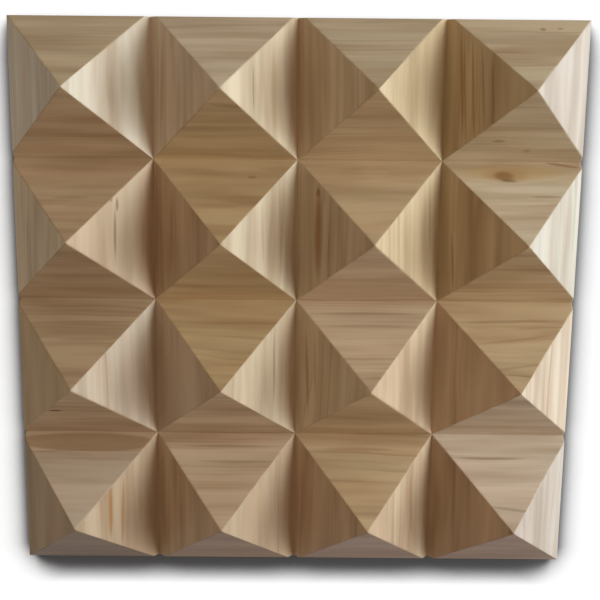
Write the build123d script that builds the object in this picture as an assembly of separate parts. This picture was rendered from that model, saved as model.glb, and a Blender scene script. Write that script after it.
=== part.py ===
from build123d import *
from math import radians, tan
import os

# Acoustic scattering panel: a square of mitred wooden blocks that meet as rows of square pyramids.
# Every block is a short length of board with one V groove along its grain. Both ends are mitred to a
# point, so that its plan is a diamond. The grooves meet as the valleys between the pyramids, and the
# mitres meet as their ridges. The glued slab is then sawn square, just inside its outermost valleys.
# X and Y lie in the flat back, Z rises from it. Sizes in mm.

panel_side = 600            # finished square, sawn to size
pyramids_per_side = 4       # pyramids in each row and in each column
edge_trim = 6               # sawn off inside the outermost valley lines, on each side
groove_angle = 90           # between the two slopes of a groove
valley_thickness = 13.5     # wood left under the bottom of a groove

pitch = (panel_side + 2 * edge_trim) / pyramids_per_side
groove_depth = pitch / 2 / tan(radians(groove_angle / 2))
panel_thickness = valley_thickness + groove_depth
lattice_edge = pitch * pyramids_per_side / 2

# Length of grooved board, the groove along X
section = Plane.YZ * Polygon(
    (-pitch / 2, 0),
    (pitch / 2, 0),
    (pitch / 2, panel_thickness),
    (0, valley_thickness),
    (-pitch / 2, panel_thickness),
    align=None,
)
grooved_board = extrude(section, amount=pitch / 2, both=True)

# Two mitres at each end leave a diamond, as long and as wide as one pyramid
diamond = Polygon((-pitch / 2, 0), (0, -pitch / 2), (pitch / 2, 0), (0, pitch / 2), align=None)
block = grooved_board & extrude(diamond, amount=panel_thickness)

# Saw cuts round the glued slab
sawn_square = extrude(Rectangle(panel_side, panel_side), amount=panel_thickness)


def place_block(along, across, turn):
    """One block with the middle of its groove at the given place, cut off at the panel's edge."""
    return (Rot(0, 0, turn) * Pos(along, across, 0) * block) & sawn_square


def line_name(line, first_edge, last_edge, valley):
    """Name of the row of blocks on one valley line, counted from the first edge."""
    if line == 0:
        return first_edge
    if line == pyramids_per_side:
        return last_edge
    return f"{valley}_{line}"


blocks = {}
for line in range(pyramids_per_side + 1):
    across = line * pitch - lattice_edge
    row_name = line_name(line, "front_edge", "rear_edge", "cross_valley")
    column_name = line_name(line, "left_edge", "right_edge", "long_valley")
    for place in range(pyramids_per_side):
        along = (place + 0.5) * pitch - lattice_edge
        blocks[f"{row_name}_block_{place + 1}"] = place_block(along, across, 0)
        blocks[f"{column_name}_block_{place + 1}"] = place_block(along, -across, 90)

os.makedirs("parts", exist_ok=True)
for name, solid in blocks.items():
    export_step(solid, f"parts/{name}.step")
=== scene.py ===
import bpy
import math
import numpy as np
from mathutils import Matrix, Vector


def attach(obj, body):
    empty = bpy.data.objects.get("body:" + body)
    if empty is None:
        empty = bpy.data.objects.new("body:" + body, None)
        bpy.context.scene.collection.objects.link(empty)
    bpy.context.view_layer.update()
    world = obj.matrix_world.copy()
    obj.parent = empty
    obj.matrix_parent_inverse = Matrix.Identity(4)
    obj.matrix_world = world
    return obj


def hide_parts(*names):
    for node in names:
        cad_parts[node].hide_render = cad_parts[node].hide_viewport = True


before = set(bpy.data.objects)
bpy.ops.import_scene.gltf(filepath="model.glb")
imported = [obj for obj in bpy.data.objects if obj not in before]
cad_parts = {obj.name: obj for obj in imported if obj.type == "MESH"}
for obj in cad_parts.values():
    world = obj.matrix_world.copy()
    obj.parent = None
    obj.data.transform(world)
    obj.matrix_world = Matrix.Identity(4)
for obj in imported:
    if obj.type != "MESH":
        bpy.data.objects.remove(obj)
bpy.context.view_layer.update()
print("frame loaded,", len(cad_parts), "blocks")


# sRGB hex to linear
def hexLinear(code):
    parts = [int(code[i:i + 2], 16) / 255 for i in (1, 3, 5)]
    return tuple(c / 12.92 if c <= 0.04045 else ((c + 0.055) / 1.055) ** 2.4 for c in parts) + (1,)


# Adds a node with its settings; an input that is a socket is linked, any other value is set
def addNode(tree, kind, inputs=None, **settings):
    node = tree.nodes.new("ShaderNode" + kind)
    for name, value in settings.items():
        setattr(node, name, value)
    for name, value in (inputs or {}).items():
        if isinstance(value, bpy.types.NodeSocket):
            tree.links.new(value, node.inputs[name])
        else:
            node.inputs[name].default_value = value
    return node


# 1 for rays that show a surface, straight, mirrored or through glass, 0 for those that only carry light
def seenByEye(tree):
    rays = addNode(tree, "LightPath").outputs
    seen = {0: rays["Is Camera Ray"], 1: rays["Is Glossy Ray"]}
    seen = addNode(tree, "Math", seen, operation="MAXIMUM").outputs[0]
    return addNode(tree, "Math", {0: seen, 1: rays["Is Transmission Ray"]}, operation="MAXIMUM").outputs[0]


panel = {
    "pitch": 0.153,             # from valley to valley, as in the CAD, metres
    "pyramids": 4,              # along each side
    "side": 0.600,              # sawn square
    "valleyThickness": 0.0135,  # wood under the grooves
    "grooveDepth": 0.0765,
    "ridgeEase": 0.0016,        # width over which the sanded ridges are rounded
    "ridgeFoot": 0.008,         # height above the valley at which that width is reached
    "footEase": 0.02,           # share of that width left at the foot of a ridge
    "sanding": 0.35,            # how far the rounding varies along a ridge
    "sandingWave": (61, 47),    # radians per metre along X and along Y
    "tipEase": 0.0009,          # roundness of the points
    "edgeEase": 0.0008,         # width of the eased sawn arris
    "columns": 44,              # grid along a course of grain
    "courses": (0.14, 0.9, 16), # first and last course as shares of the way from groove to point, and number
    "nearPoint": (0.95, 0.98, 0.99),
    "nearGroove": (0.002, 0.004),                       # metres from the groove
    "nearSaw": (0, 0.0002, 0.0004, 0.0007, 0.0012),     # metres from the saw cut
    "nearStrip": 0.0008,        # no other course as near as this to a glue line
    "sharpFrom": 40,            # degrees between two faces that aren't shaded as one
}
half = panel["pitch"] / 2
lattice = panel["pitch"] * panel["pyramids"] / 2
trim = lattice - panel["side"] / 2

# Boards that the blocks were cut from: tone, then what sets a block apart from the plain run of boards. On the
# front, left and right edge rows the tone also holds painted shade and light.
# lines: strength of the grain lines, wave: how far they wander, ring: width of a year's growth in mm,
# strip: distance from the groove in mm of a glue line, with the tone of the wood beyond it
boards = {
    "seed": 11,
    "tones": {
        "plain": "#dcc1a5", "golden": "#d2b38a", "honey": "#d2b591", "straw": "#dcc3a0", "rosy": "#d8bca0",
        "grey": "#dfcab6", "dark": "#ccae8e", "tan": "#d3b89d", "olive": "#d6c0a2", "pale": "#e3ceb3",
        "sapwood_and_sheen": "#d3c4ba", "pale_and_sheen": "#e3d8cc", "cream": "#eedecb", "wheat": "#e3cba6",
        "shaded_smoky": "#a98b77", "umber": "#866a4c", "peat": "#a4856a", "clay": "#b3927d",
        "nut": "#bfa786", "drab": "#d3bb95", "ivory": "#ede0c9", "chalk": "#f4efe8",
    },
    "cross_valley_1_block_1": {"tone": "tan", "lines": 0.5, "strip": -16, "beyond": "grey"},
    "cross_valley_1_block_3": {"tone": "honey"},
    "cross_valley_1_block_4": {"tone": "grey", "lines": 0.6},
    "cross_valley_2_block_1": {"tone": "dark", "lines": 0.8},
    "cross_valley_2_block_2": {"tone": "golden", "lines": 0.5, "wave": 1.4},
    "cross_valley_2_block_3": {"tone": "rosy", "lines": 0.9, "ring": 3.2},
    "cross_valley_2_block_4": {"tone": "honey", "lines": 1.0, "wave": 1.6, "ring": 6.5},
    "cross_valley_3_block_1": {"tone": "dark", "lines": 0.4},
    "cross_valley_3_block_2": {"tone": "golden", "lines": 0.6},
    "cross_valley_3_block_3": {"tone": "honey", "lines": 0.8},
    "cross_valley_3_block_4": {"tone": "olive", "lines": 0.5, "strip": -18, "beyond": "pale"},
    "long_valley_1_block_1": {"tone": "tan"},
    "long_valley_1_block_2": {"tone": "grey"},
    "long_valley_1_block_3": {"tone": "tan"},
    "long_valley_1_block_4": {"tone": "cream", "lines": 0.2},
    "long_valley_2_block_1": {"tone": "tan"},
    "long_valley_2_block_2": {"tone": "pale"},
    "long_valley_2_block_3": {"tone": "pale", "lines": 0.8},
    "long_valley_2_block_4": {"tone": "pale"},
    "long_valley_3_block_1": {"tone": "tan"},
    "long_valley_3_block_3": {"tone": "straw", "lines": 0.8},
    "long_valley_3_block_4": {"tone": "wheat", "lines": 1.0, "ring": 4.0},
    # Front edge: darker tones, painted shade for the slopes that face the front and get little light
    "front_edge_block_1": {"tone": "umber"}, "front_edge_block_2": {"tone": "peat"},
    "front_edge_block_3": {"tone": "shaded_smoky"}, "front_edge_block_4": {"tone": "clay"},
    "rear_edge_block_1": {"tone": "olive"}, "rear_edge_block_2": {"tone": "pale"},
    "rear_edge_block_3": {"tone": "olive"}, "rear_edge_block_4": {"tone": "olive"},
    # Left edge: tones run from darker at the front to pale and grey at the back; partly the boards' own tone,
    # partly painted light and shade on these outward slopes
    "left_edge_block_1": {"tone": "nut"}, "left_edge_block_2": {"tone": "drab"},
    "left_edge_block_3": {"tone": "ivory"}, "left_edge_block_4": {"tone": "chalk"},
    # Right edge: paler, greyer tones, partly pale sapwood, partly a painted sheen for the whitish look of these
    # fully lit slopes
    "right_edge_block_1": {"tone": "sapwood_and_sheen"}, "right_edge_block_2": {"tone": "grey"},
    "right_edge_block_3": {"tone": "pale_and_sheen"}, "right_edge_block_4": {"tone": "sapwood_and_sheen"},
}

# Knots, pitch pockets and streaks. Knots: middle and radius in mm. Spots: middle in mm,
# half length along the grain and half width in mm, turn in degrees, colour, strength, softness of the edge
# One spot, the pale band on the outer left slope, is painted light, not wood
marks = {
    "colours": {
        "knot": "#8a5a2e", "bark": "#4a3222", "amber": "#ad7636", "red": "#97623f",
        "brown": "#a07a55", "line": "#84603f", "pale": "#ecd9bf", "resin": "#c8a468",
    },
    "knots": [(219, 140, 4.2), (207, 177, 1.6), (239, 166, 1.4), (-48, 136, 1.5), (22, 122, 2.2)],
    "spots": [
        (224, 143, 66, 9.0, 0, "resin", 0.45, 0.7),
        (219, 141, 30, 7.5, 0, "amber", 0.40, 1.0),
        (216, 140, 13, 5.5, 0, "knot", 0.60, 0.9),
        (220, 136, 10, 1.3, 0, "bark", 0.45, 0.9),
        (207, 177, 9, 2.0, 0, "knot", 0.45, 1.0),
        (239, 166, 6, 2.4, 0, "knot", 0.30, 1.0),
        (248, 291, 4, 1.9, 0, "knot", 0.55, 0.9),
        (266, 292, 4, 1.6, 0, "knot", 0.40, 0.9),
        (-256, -113, 9, 1.7, 0, "bark", 0.80, 0.8),
        (-48, 136, 6, 1.8, 0, "red", 0.50, 1.0),
        (22, 122, 6, 2.6, 90, "knot", 0.60, 0.9),
        (-191, 116, 6, 1.7, 90, "line", 0.70, 1.0),
        (-186, 108, 9, 1.7, 90, "line", 0.70, 1.0),
        (-188, 78, 34, 1.5, 90, "line", 0.65, 1.0),
        (-69, 213, 32, 2.7, -5, "brown", 0.45, 1.0),
        (-68, 181, 61, 2.2, 2, "brown", 0.27, 1.0),
        (-82, 110, 31, 2.5, 0, "brown", 0.30, 1.0),
        (-232, 117, 26, 1.7, 0, "brown", 0.36, 1.0),
        (-216, 109, 32, 1.9, 0, "brown", 0.24, 1.0),
        (-229, 34, 71, 3.8, 0, "brown", 0.36, 1.0),
        (-205, 52, 31, 2.5, -5, "brown", 0.30, 1.0),
        (-142, 218, 68, 2.7, 88, "red", 0.27, 1.0),
        (-132, 77, 62, 2.7, 87, "brown", 0.30, 1.0),
        (-18, 80, 58, 2.7, -89, "brown", 0.33, 1.0),
        (-36, 82, 44, 1.4, -89, "brown", 0.30, 1.0),
        (-24, 225, 55, 3.1, -89, "amber", 0.27, 1.0),
        (-45, 229, 28, 1.1, -89, "line", 0.48, 0.8),
        # painted light: a lighter band low on the outer left slope, towards the sawn edge
        (-279, 224, 68, 5.1, 86, "pale", 0.36, 0.7),
        (168, 232, 60, 1.4, -87, "amber", 0.57, 0.8),
        (171, 223, 61, 1.1, -87, "brown", 0.48, 0.8),
        (178, 226, 65, 1.4, -87, "brown", 0.54, 0.8),
        (186, 232, 45, 1.4, -87, "brown", 0.51, 0.8),
        (194, 227, 40, 1.2, -87, "brown", 0.45, 0.8),
        (280, 150, 21, 1.7, -7, "red", 0.57, 0.7),
        (238, 128, 62, 4.5, 0, "pale", 0.55, 0.8),
        (236, 115, 40, 2.2, 0, "pale", 0.40, 1.0),
        (257, 121, 22, 1.7, -1, "brown", 0.50, 0.9),
        (23, 78, 64, 6.0, 90, "red", 0.60, 1.0),
        (23, 80, 50, 2.2, 90, "amber", 0.50, 1.0),
        (166, 47, 38, 1.4, -87, "line", 0.42, 0.9),
        (140, 98, 46, 1.9, -87, "brown", 0.36, 1.0),
        (-227, -20, 68, 1.5, 0, "line", 0.36, 0.9),
        (-218, -34, 41, 1.7, 0, "brown", 0.30, 1.0),
        (-198, -224, 39, 2.2, 89, "amber", 0.75, 0.9),
        (-187, -229, 45, 1.8, 88, "amber", 0.55, 0.9),
        (-69, -153, 86, 1.4, 0, "red", 0.30, 0.9),
        (-73, -164, 64, 1.4, 0, "line", 0.36, 0.9),
        (-65, -176, 51, 1.2, 0, "line", 0.30, 0.9),
        (-63, -20, 68, 1.7, -1, "brown", 0.36, 0.9),
        (-58, -33, 49, 1.5, -1, "brown", 0.30, 1.0),
        (-23, -63, 55, 1.7, 89, "line", 0.36, 0.9),
        (13, -76, 54, 2.0, -88, "red", 0.42, 0.9),
        (21, -71, 45, 1.1, -89, "brown", 0.36, 0.9),
        (76, -11, 76, 1.4, 0, "line", 0.36, 0.9),
        (78, -22, 58, 1.4, 0, "line", 0.30, 0.9),
        (229, -17, 72, 1.7, 2, "line", 0.42, 0.9),
        (231, -31, 50, 1.7, 4, "brown", 0.42, 0.9),
        (228, -55, 34, 1.5, 10, "brown", 0.36, 0.9),
        (69, -166, 50, 1.9, 0, "red", 0.33, 0.9),
        (214, -172, 46, 1.4, 0, "line", 0.45, 0.9),
        (230, -212, 31, 1.4, -4, "line", 0.36, 0.9),
        (176, -212, 71, 2.4, -89, "red", 0.39, 0.9),
        (129, -227, 42, 1.7, -87, "brown", 0.39, 0.9),
        (-232, -161, 90, 8.5, 0, "brown", 0.66, 0.4),
        (-236, -169, 79, 0.8, 1, "line", 0.48, 0.7),
        (-218, -176, 51, 1.4, 0, "brown", 0.24, 1.0),
    ],
}


# Height of the face: valley level plus the smaller distance to the valleys beside the point,
# a soft minimum, so that the ridges are rounded, fading out towards the foot of each ridge
def faceHeight(x, y):
    offX = (x + lattice) % panel["pitch"] - half
    offY = (y + lattice) % panel["pitch"] - half
    toValleyX = np.hypot(half, panel["tipEase"]) - np.hypot(offX, panel["tipEase"])
    toValleyY = np.hypot(half, panel["tipEase"]) - np.hypot(offY, panel["tipEase"])
    low = np.minimum(toValleyX, toValleyY)
    waveX, waveY = panel["sandingWave"]
    uneven = 1 + panel["sanding"] * np.sin(x * waveX + y * waveY)
    ease = panel["ridgeEase"] * np.clip(low / panel["ridgeFoot"], panel["footEase"], 1) * uneven
    blend = np.clip(ease - np.abs(toValleyX - toValleyY), 0, None) / ease
    low = low - blend ** 2 * ease / 4
    toEdge = panel["side"] / 2 - np.maximum(np.abs(x), np.abs(y))
    worn = np.clip(panel["edgeEase"] - toEdge, 0, None) ** 2 / (2 * panel["edgeEase"])
    return panel["valleyThickness"] + panel["grooveDepth"] * low / half - worn


# Place of a block from its node's name: grain direction, middle of its groove, edge or not
def blockPlace(node):
    line, place = node.split("_block_")
    alongX = line.split("_")[0] in ("cross", "front", "rear")
    edges = {"front_edge": 0, "left_edge": 0, "rear_edge": panel["pyramids"], "right_edge": panel["pyramids"]}
    edge = line in edges
    lineNumber = edges[line] if edge else int(line[-1])
    across = lineNumber * panel["pitch"] - lattice
    along = (int(place) - 0.5) * panel["pitch"] - lattice
    return alongX, along, across, edge


# One block: courses of grain at a distance v from its groove, each running between the two mitres
# at u = -(half - |v|) and u = half - |v|, cut off at the panel's edge. Flat back, upright sides.
def blockMesh(node, strip):
    alongX, along, across, edge = blockPlace(node)
    slope = np.concatenate((np.linspace(*panel["courses"]), panel["nearPoint"], [1])) * half
    if edge:
        v = -np.sign(across) * np.concatenate((trim + np.array(panel["nearSaw"]), slope))
    else:
        slope = np.concatenate((panel["nearGroove"], [trim], slope))
        v = np.concatenate((-slope[::-1], [0], slope))
    if strip is not None:
        v = np.append(v[np.abs(v - strip) > panel["nearStrip"]], strip)
    v = np.sort(v)
    reach = half - np.abs(v)
    low = np.maximum(-reach, -panel["side"] / 2 - along)
    high = np.minimum(reach, panel["side"] / 2 - along)
    # columns stand closer towards both mitres, as half a cosine wave
    spread = 0.5 - 0.5 * np.cos(np.pi * np.arange(panel["columns"] + 1) / panel["columns"])
    u = low[:, None] + (high - low)[:, None] * spread[None, :]
    vv = np.repeat(v[:, None], panel["columns"] + 1, 1)
    x, y = (along + u, across + vv) if alongX else (across + vv, along + u)
    top = np.stack((x, y, faceHeight(x, y)), -1)

    # the row at a point of the diamond is one vertex, with triangles to the next row
    rows, cols = u.shape
    poleFirst, poleLast = reach[0] < 1e-9, reach[-1] < 1e-9
    kept = np.ones((rows, cols), bool)
    kept[0, 1:] = not poleFirst
    kept[-1, 1:] = not poleLast
    index = np.cumsum(kept.ravel()).reshape(rows, cols) - 1
    quads = np.stack((index[:-1, :-1], index[:-1, 1:], index[1:, 1:], index[1:, :-1]), -1)
    first, last = (1 if poleFirst else 0), (rows - 2 if poleLast else rows - 1)
    faces = quads[first:last].reshape(-1, 4).tolist()
    if poleFirst:
        faces += quads[0][:, [0, 2, 3]].tolist()
    if poleLast:
        faces += quads[-1][:, [0, 1, 2]].tolist()

    # sides go down from the rim of the face to the back
    rim = [] if poleFirst else index[0, :-1].tolist()
    rim += index[:, -1].tolist()
    rim += [] if poleLast else index[-1, 1:-1][::-1].tolist()
    rim += index[::-1, 0].tolist()
    rim = [p for i, p in enumerate(rim) if p != rim[i - 1]]
    points = top[kept]
    below = len(points) + np.arange(len(rim))
    faces += np.stack((np.roll(rim, -1), rim, below, np.roll(below, -1)), -1).tolist()
    faces.append(below[::-1].tolist())
    points = np.concatenate((points, points[rim] * np.array([1, 1, 0])))
    if not alongX:
        faces = [f[::-1] for f in faces]
    mesh = bpy.data.meshes.new(node)
    mesh.from_pydata(points.tolist(), [], faces)
    mesh.polygons.foreach_set("use_smooth", np.ones(len(mesh.polygons), bool))
    mesh.set_sharp_from_angle(angle=math.radians(panel["sharpFrom"]))
    mesh.update()
    return mesh


# How boards differ where the list above doesn't say: each pair is the lowest and the highest value
growth = {
    "pithTurn": (0.15, 0.85),       # direction of the pith, in half turns
    "pithFar": (0.05, 0.16),        # distance of the pith from the groove, metres
    "tilt": (-0.03, 0.03),          # slope of the grain against the groove
    "shift": (0, 30),               # place along an endless log, metres
    "toneBy": (0.94, 1.04),
    "lines": (0.4, 0.9), "wave": (0.5, 1.1), "ring": (3.0, 6.0),    # as in the list of boards
    "knotReach": 4, "knotPush": 1.2,    # rings part around a knot as far out as this, and by this, in radii
}


# Where the wood of each face corner lay in its log: distance along the grain, and the two
# distances from the pith in the end grain, with the growth rings pushed aside around a knot
def growInLog(mesh, node, board, strip):
    alongX, along, across, _ = blockPlace(node)
    nodeNumber = sum(ord(letter) * (i + 1) for i, letter in enumerate(node))
    rng = np.random.default_rng([boards["seed"], nodeNumber])
    points = np.zeros(len(mesh.vertices) * 3)
    mesh.vertices.foreach_get("co", points)
    points = points.reshape(-1, 3)
    corner = np.zeros(len(mesh.loops), int)
    mesh.loops.foreach_get("vertex_index", corner)
    faceOf = np.repeat(np.arange(len(mesh.polygons)), [p.loop_total for p in mesh.polygons])
    first, second = (0, 1) if alongX else (1, 0)
    u, v = points[:, first] - along, points[:, second] - across
    middle = np.bincount(faceOf, v[corner]) / np.bincount(faceOf)
    for knotX, knotY, radius in marks["knots"]:
        du = u - ((knotX if alongX else knotY) / 1000 - along)
        dv = v - ((knotY if alongX else knotX) / 1000 - across)
        size = radius / 1000
        reach = growth["knotReach"] * size
        push = np.sign(dv) * (1 - np.exp(-np.abs(dv) / size)) * np.exp(-(du / reach) ** 2 - (dv / reach) ** 2)
        v = v - growth["knotPush"] * size * push
    timber = np.zeros((len(corner), 3))
    figure = np.zeros((len(corner), 3))
    tone = np.ones((len(corner), 4))
    beyond = np.zeros(len(middle), bool)
    if strip is not None:
        beyond = middle < strip if strip < 0 else middle > strip
    for side in (False, True):
        here = (beyond == side)[faceOf]
        at = corner[here]
        angle = rng.uniform(*growth["pithTurn"]) * math.pi
        far = rng.uniform(*growth["pithFar"])
        tilt = rng.uniform(*growth["tilt"])
        shift = rng.uniform(*growth["shift"])
        outward = v[at] + tilt * u[at] + far * math.cos(angle)
        upward = points[at, 2] - far * math.sin(angle)
        timber[here] = np.stack((u[at] + shift, outward, upward), -1)
        tone[here] = hexLinear(boards["tones"][board.get("beyond" if side else "tone", "plain")])
        tone[here, :3] *= rng.uniform(*growth["toneBy"])
        lines = board.get("lines", rng.uniform(*growth["lines"]))
        wave = board.get("wave", rng.uniform(*growth["wave"]))
        ring = board.get("ring", rng.uniform(*growth["ring"]))
        figure[here] = (lines, wave, ring / 1000)
    for name, values in (("timber", timber), ("figure", figure)):
        mesh.attributes.new(name, "FLOAT_VECTOR", "CORNER").data.foreach_set("vector", values.ravel())
    mesh.attributes.new("tone", "FLOAT_COLOR", "CORNER").data.foreach_set("color", tone.ravel())


# Sanded fir, no varnish: pale early wood, soft brown streaks and late wood lines along the grain, a dull sheen
fir = {
    "lateTint": "#cbbcae",          # late wood against the early wood of its board
    "roughness": 0.52, "ior": 1.5,
    "specular": 0.3,                # open pores scatter the gloss
    "fibre": (14, 700, 700),        # per metre: fibres some 70 mm long, drawn 1.4 mm wide, coarser than real ones
    "fibreLight": (0.12, 0.97),     # how much lighter fibres are than the darkest, and those
    "fibreGloss": 0.14, "fibreBump": 0.5, "fibreDepth": 0.0002,
    "streak": (5, 48, 48),          # per metre: streaks some 200 mm long and 20 mm wide, with finer ones in them
    "bands": 95,                    # per metre: bands across the rings, some 10 mm wide
    "warmer": "#fffaf5", "greener": "#fbfdf9",      # drift of the hue within a board
    "wander": (6, 20, 20),          # per metre: bends of the grain 170 mm long and 50 mm wide
    "wanderBy": 0.014,              # metres at wave 1
    "unevenEvery": 0.018, "unevenBy": 0.006,        # metres: runs of wide and narrow rings
    "fewDark": 2.2,                 # the higher, the fewer years show a dark line
    "faintest": 0.15,               # depth of the faintest year's line
    "lineRise": 3.5, "lineFall": 9.0,               # late wood darkens slowly and ends at once
    "lineShown": (0.40, 0.66, 0.15, 1.3),           # streak noise from and to, strength of the lines from and to
    "brown": {"streak": 1.9, "band": 0.8, "line": 0.9, "less": -1.05},
    "hueRange": (0.3, 0.7),
    "fray": (0.5, 0.5, 0),          # share of the bends that marks follow
}


# The fir of one row of blocks, with the marks that lie on that row
def growFir(line):
    softwood = bpy.data.materials.new("sanded fir " + line)
    softwood.use_nodes = True
    tree = softwood.node_tree
    shader = tree.nodes["Principled BSDF"]
    timber = addNode(tree, "Attribute", attribute_name="timber").outputs["Vector"]
    figure = addNode(tree, "Attribute", attribute_name="figure").outputs["Vector"]
    lines, wave, ring = addNode(tree, "SeparateXYZ", {0: figure}).outputs
    tone = addNode(tree, "Attribute", attribute_name="tone").outputs["Color"]

    # distance from the pith, bent by slow noise and stretched unevenly, counted in rings
    slow = addNode(tree, "VectorMath", {0: timber, 1: fir["wander"]}, operation="MULTIPLY").outputs[0]
    bend = addNode(tree, "TexNoise", {"Vector": slow, "Scale": 1, "Detail": 2}).outputs["Color"]
    bend = addNode(tree, "VectorMath", {0: bend, 1: (0.5, 0.5, 0.5)}, operation="SUBTRACT").outputs[0]
    bendBy = addNode(tree, "Math", {0: wave, 1: fir["wanderBy"]}, operation="MULTIPLY").outputs[0]
    bend = addNode(tree, "VectorMath", {0: bend, "Scale": bendBy}, operation="SCALE").outputs[0]
    bent = addNode(tree, "VectorMath", {0: timber, 1: bend}, operation="ADD").outputs[0]
    endGrain = addNode(tree, "VectorMath", {0: bent, 1: (0, 1, 1)}, operation="MULTIPLY").outputs[0]
    fromPith = addNode(tree, "VectorMath", {0: endGrain}, operation="LENGTH").outputs["Value"]
    runs = addNode(tree, "Math", {0: fromPith, 1: 1 / fir["unevenEvery"]}, operation="MULTIPLY").outputs[0]
    runs = addNode(tree, "TexNoise", {"W": runs, "Scale": 1, "Detail": 1}, noise_dimensions="1D").outputs[0]
    rings = {0: runs, 1: fir["unevenBy"], 2: fromPith}
    rings = addNode(tree, "Math", rings, operation="MULTIPLY_ADD").outputs[0]
    rings = addNode(tree, "Math", {0: rings, 1: ring}, operation="DIVIDE").outputs[0]

    # late wood of a year: the smaller of a slow rise and a steep fall, deep in some years only
    season = addNode(tree, "Math", {0: rings}, operation="FRACT").outputs[0]
    year = addNode(tree, "Math", {0: rings}, operation="FLOOR").outputs[0]
    depth = addNode(tree, "TexWhiteNoise", {"W": year}, noise_dimensions="1D").outputs["Value"]
    depth = addNode(tree, "Math", {0: depth, 1: fir["fewDark"]}, operation="POWER").outputs[0]
    depth = {0: depth, 1: 1 - fir["faintest"], 2: fir["faintest"]}
    depth = addNode(tree, "Math", depth, operation="MULTIPLY_ADD").outputs[0]
    rise = addNode(tree, "Math", {0: season, 1: fir["lineRise"]}, operation="POWER").outputs[0]
    fall = addNode(tree, "Math", {0: 1.0, 1: season}, operation="SUBTRACT").outputs[0]
    fall = addNode(tree, "Math", {0: fall, 1: fir["lineFall"]}, operation="MULTIPLY").outputs[0]
    lateWood = addNode(tree, "Math", {0: rise, 1: fall}, operation="MINIMUM").outputs[0]
    lateWood = addNode(tree, "Math", {0: lateWood, 1: depth}, operation="MULTIPLY").outputs[0]
    lateWood = addNode(tree, "Math", {0: lateWood, 1: lines}, operation="MULTIPLY").outputs[0]

    # soft streaks and broad bands across the rings join the late wood lines, which come and go along the grain
    band = addNode(tree, "Math", {0: fromPith, 1: fir["bands"]}, operation="MULTIPLY").outputs[0]
    band = addNode(tree, "TexNoise", {"W": band, "Scale": 1, "Detail": 2}, noise_dimensions="1D").outputs[0]
    drift = addNode(tree, "VectorMath", {0: bent, 1: fir["streak"]}, operation="MULTIPLY").outputs[0]
    drift = {"Vector": drift, "Scale": 1, "Detail": 2, "Roughness": 0.55}
    drift = addNode(tree, "TexNoise", drift).outputs["Color"]
    streak, come, hue = addNode(tree, "SeparateColor", {0: drift}).outputs
    shown = {"Value": come, **dict(enumerate(fir["lineShown"], 1))}
    shown = addNode(tree, "MapRange", shown, interpolation_type="SMOOTHSTEP").outputs[0]
    lateWood = addNode(tree, "Math", {0: lateWood, 1: shown}, operation="MULTIPLY").outputs[0]
    share = fir["brown"]
    brown = {0: streak, 1: share["streak"], 2: share["less"]}
    brown = addNode(tree, "Math", brown, operation="MULTIPLY_ADD").outputs[0]
    brown = {0: band, 1: share["band"], 2: brown}
    brown = addNode(tree, "Math", brown, operation="MULTIPLY_ADD").outputs[0]
    brown = {0: lateWood, 1: share["line"], 2: brown}
    brown = addNode(tree, "Math", brown, operation="MULTIPLY_ADD", use_clamp=True).outputs[0]

    # board tone, browner in streaks and late wood, with a drift of hue and lighter and darker fibres; on the edge
    # rows the tone also carries painted shade and light
    lateTone = {0: 1.0, 6: tone, 7: hexLinear(fir["lateTint"])}
    lateTone = addNode(tree, "Mix", lateTone, data_type="RGBA", blend_type="MULTIPLY").outputs[2]
    wood = addNode(tree, "Mix", {0: brown, 6: tone, 7: lateTone}, data_type="RGBA").outputs[2]
    hue = addNode(tree, "MapRange", {"Value": hue, **dict(enumerate(fir["hueRange"], 1))}).outputs[0]
    hue = {0: hue, 6: hexLinear(fir["warmer"]), 7: hexLinear(fir["greener"])}
    hue = addNode(tree, "Mix", hue, data_type="RGBA").outputs[2]
    wood = addNode(tree, "Mix", {0: 1.0, 6: wood, 7: hue}, data_type="RGBA", blend_type="MULTIPLY").outputs[2]
    fibre = addNode(tree, "VectorMath", {0: timber, 1: fir["fibre"]}, operation="MULTIPLY").outputs[0]
    fibre = addNode(tree, "TexNoise", {"Vector": fibre, "Scale": 1, "Detail": 2}).outputs[0]
    light = {0: fibre, **dict(enumerate(fir["fibreLight"], 1))}
    light = addNode(tree, "Math", light, operation="MULTIPLY_ADD").outputs[0]
    wood = addNode(tree, "VectorMath", {0: wood, "Scale": light}, operation="SCALE").outputs[0]

    # knots, pockets and streaks of this row: soft ellipses along the grain, frayed by its bends
    place = addNode(tree, "TexCoord").outputs["Object"]
    frayed = {0: bend, 1: fir["fray"], 2: place}
    frayed = addNode(tree, "VectorMath", frayed, operation="MULTIPLY_ADD").outputs[0]
    frayed = addNode(tree, "VectorMath", {0: frayed, 1: (1, 1, 0)}, operation="MULTIPLY").outputs[0]
    alongX, _, across, _ = blockPlace(line + "_block_1")
    for x, y, length, width, turn, colour, strength, soft in marks["spots"]:
        onThisGrain = (abs(turn) < 45) == alongX
        if not onThisGrain or abs((y if alongX else x) / 1000 - across) > half:
            continue
        onSpot = addNode(tree, "Mapping", {
            "Vector": frayed, "Location": (x / 1000, y / 1000, 0), "Rotation": (0, 0, math.radians(turn)),
            "Scale": (length / 1000, width / 1000, 1)}, vector_type="TEXTURE").outputs[0]
        reach = addNode(tree, "VectorMath", {0: onSpot, 1: onSpot}, operation="DOT_PRODUCT").outputs["Value"]
        stain = {"Value": reach, 1: 1 - soft, 2: 1.0, 3: strength, 4: 0.0}
        stain = addNode(tree, "MapRange", stain, interpolation_type="SMOOTHSTEP").outputs[0]
        stained = {0: stain, 6: wood, 7: hexLinear(marks["colours"][colour])}
        wood = addNode(tree, "Mix", stained, data_type="RGBA").outputs[2]

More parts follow.
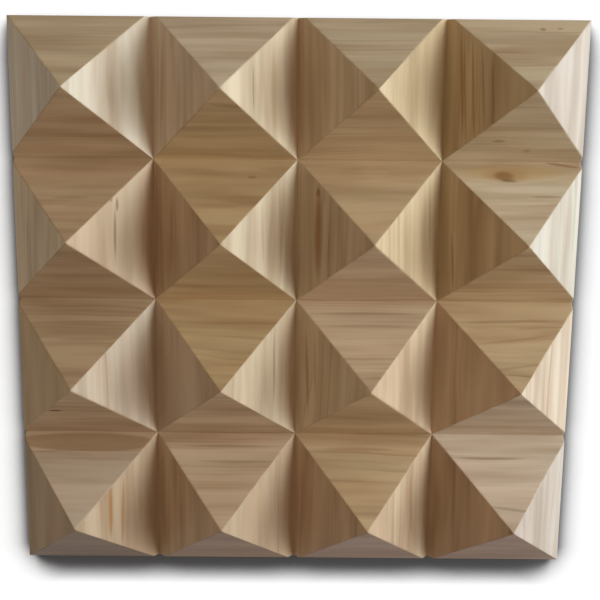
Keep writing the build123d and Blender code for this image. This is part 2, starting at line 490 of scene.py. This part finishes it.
    tree.links.new(wood, shader.inputs["Base Color"])
    gloss = {0: fibre, 1: fir["fibreGloss"], 2: fir["roughness"] - fir["fibreGloss"] / 2}
    gloss = addNode(tree, "Math", gloss, operation="MULTIPLY_ADD").outputs[0]
    tree.links.new(gloss, shader.inputs["Roughness"])
    shader.inputs["IOR"].default_value = fir["ior"]
    shader.inputs["Specular IOR Level"].default_value = fir["specular"]
    bump = {"Strength": fir["fibreBump"], "Distance": fir["fibreDepth"], "Height": fibre}
    tree.links.new(addNode(tree, "Bump", bump).outputs[0], shader.inputs["Normal"])
    return softwood


firs = {}
for node in sorted(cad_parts):
    line = node.split("_block_")[0]
    if line not in firs:
        firs[line] = growFir(line)
    board = boards.get(node, {})
    strip = board["strip"] / 1000 if "strip" in board else None
    mesh = blockMesh(node, strip)
    growInLog(mesh, node, board, strip)
    mesh.materials.append(firs[line])
    piece = bpy.data.objects.new(node + "_wood", mesh)
    bpy.context.scene.collection.objects.link(piece)
    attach(piece, "root")
    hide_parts(node)
print("blocks done")

# Plain pale floor: white to the eye except in the panel's shadow, which lies mostly in front of it
matt = {
    "reach": 3,                         # metres to each side
    "colour": "#b4b4b6",                # where it only throws light back
    "shaded": "#5c5c60",                # where the eye meets it
    "shadowReach": 0.048,               # metres
    "shadowFrom": (0, 0.78, 0.626),     # middle of the light that the panel keeps off
    "shadowRange": (0.66, 0.975, 0.02, 0.97),       # open sky from and to, white from and to
    "shadowSamples": 48,
}
floorMesh = bpy.data.meshes.new("floor")
side = matt["reach"]
floorMesh.from_pydata([(-side, -side, 0), (side, -side, 0), (side, side, 0), (-side, side, 0)], [], [(0, 1, 2, 3)])
floor = bpy.data.objects.new("floor", floorMesh)
bpy.context.scene.collection.objects.link(floor)
pale = bpy.data.materials.new("matt pale floor")
pale.use_nodes = True
tree = pale.node_tree
tree.nodes.remove(tree.nodes["Principled BSDF"])
seen = seenByEye(tree)
lean = addNode(tree, "CombineXYZ", dict(zip("XYZ", matt["shadowFrom"]))).outputs[0]
shadow = {"Distance": matt["shadowReach"], "Normal": lean}
shadow = addNode(tree, "AmbientOcclusion", shadow, samples=matt["shadowSamples"]).outputs["AO"]
shadow = {"Value": shadow, **dict(enumerate(matt["shadowRange"], 1))}
shadow = addNode(tree, "MapRange", shadow, interpolation_type="SMOOTHSTEP").outputs[0]
dull = {0: seen, 6: hexLinear(matt["colour"]), 7: hexLinear(matt["shaded"])}
dull = addNode(tree, "Mix", dull, data_type="RGBA").outputs[2]
dull = addNode(tree, "BsdfDiffuse", {"Color": dull}).outputs[0]
glow = addNode(tree, "Math", {0: seen, 1: shadow}, operation="MULTIPLY").outputs[0]
glow = addNode(tree, "Emission", {"Color": (1, 1, 1, 1), "Strength": glow}).outputs[0]
both = addNode(tree, "AddShader", {0: dull, 1: glow}).outputs[0]
tree.links.new(both, tree.nodes["Material Output"].inputs["Surface"])
floorMesh.materials.append(pale)
print("floor done")

camera = {
    "place": (-0.00940, 0.24636, 0.93422),
    "right": (0.99996, 0.00911, 0.00073),
    "up": (-0.00886, 0.98634, -0.16451),
    "back": (-0.00222, 0.16449, 0.98638),
    "focal": 871.8, "frame": 600,       # pixels
    "sensor": 36,                       # mm
    "shift": (0.0164, -0.14),
}
cameraData = bpy.data.cameras.new("camera")
cameraData.sensor_width = camera["sensor"]
cameraData.lens = camera["sensor"] * camera["focal"] / camera["frame"]
cameraData.shift_x, cameraData.shift_y = camera["shift"]
cameraObject = bpy.data.objects.new("camera", cameraData)
axes = Matrix((camera["right"], camera["up"], camera["back"])).transposed()
cameraObject.matrix_world = Matrix.Translation(camera["place"]) @ axes.to_4x4()
bpy.context.scene.collection.objects.link(cameraObject)
bpy.context.scene.camera = cameraObject
print("camera done")

# Large soft light from the right
window = {
    "azimuth": 10, "elevation": 21,     # degrees from +X, towards +Y and up
    "distance": 3.0, "width": 2.0, "height": 2.0,   # metres
    "watts": 104, "colour": "#e6f5fb",
}
keyData = bpy.data.lights.new("window light", "AREA")
keyData.shape = "RECTANGLE"
keyData.size, keyData.size_y, keyData.energy = window["width"], window["height"], window["watts"]
keyData.color = hexLinear(window["colour"])[:3]
key = bpy.data.objects.new("window light", keyData)
turn, rise = math.radians(window["azimuth"]), math.radians(window["elevation"])
toKey = Vector((math.cos(turn) * math.cos(rise), math.sin(turn) * math.cos(rise), math.sin(rise)))
facing = toKey.to_track_quat("Z", "Y").to_matrix().to_4x4()
key.matrix_world = Matrix.Translation(toKey * window["distance"]) @ facing
bpy.context.scene.collection.objects.link(key)

# Soft room light, none from low in front; a plain white backdrop low round the floor for the eye alone
room = {
    "colour": "#ffe6c7", "strength": 0.287, "front": 0.0,
    "frontRange": (-0.8, -0.05),        # along +Y and up: the front's strength from here, the full one to there
    "backdrop": (0.3, 0.45),            # height at which the backdrop starts to fade, and its top
}
world = bpy.data.worlds.new("soft room")
world.use_nodes = True
tree = world.node_tree
direction = addNode(tree, "TexCoord").outputs["Generated"]
toward = addNode(tree, "VectorMath", {0: direction, 1: (0, 1, 1)}, operation="DOT_PRODUCT").outputs["Value"]
glow = {"Value": toward, **dict(enumerate(room["frontRange"], 1)), 3: room["front"], 4: room["strength"]}
glow = addNode(tree, "MapRange", glow).outputs[0]
lit = tree.nodes["Background"]
lit.inputs["Color"].default_value = hexLinear(room["colour"])
tree.links.new(glow, lit.inputs["Strength"])
upward = addNode(tree, "SeparateXYZ", {0: direction}).outputs["Z"]
low = {"Value": upward, **dict(enumerate(room["backdrop"], 1)), 3: 1.0, 4: 0.0}
low = addNode(tree, "MapRange", low).outputs[0]
seen = addNode(tree, "Math", {0: seenByEye(tree), 1: low}, operation="MULTIPLY").outputs[0]
white = addNode(tree, "Background", {"Color": (1, 1, 1, 1), "Strength": 1.0}).outputs[0]
both = addNode(tree, "MixShader", {0: seen, 1: lit.outputs[0], 2: white}).outputs[0]
tree.links.new(both, tree.nodes["World Output"].inputs["Surface"])
bpy.context.scene.world = world
bpy.context.scene.view_settings.view_transform = "Standard"
print("lights done")
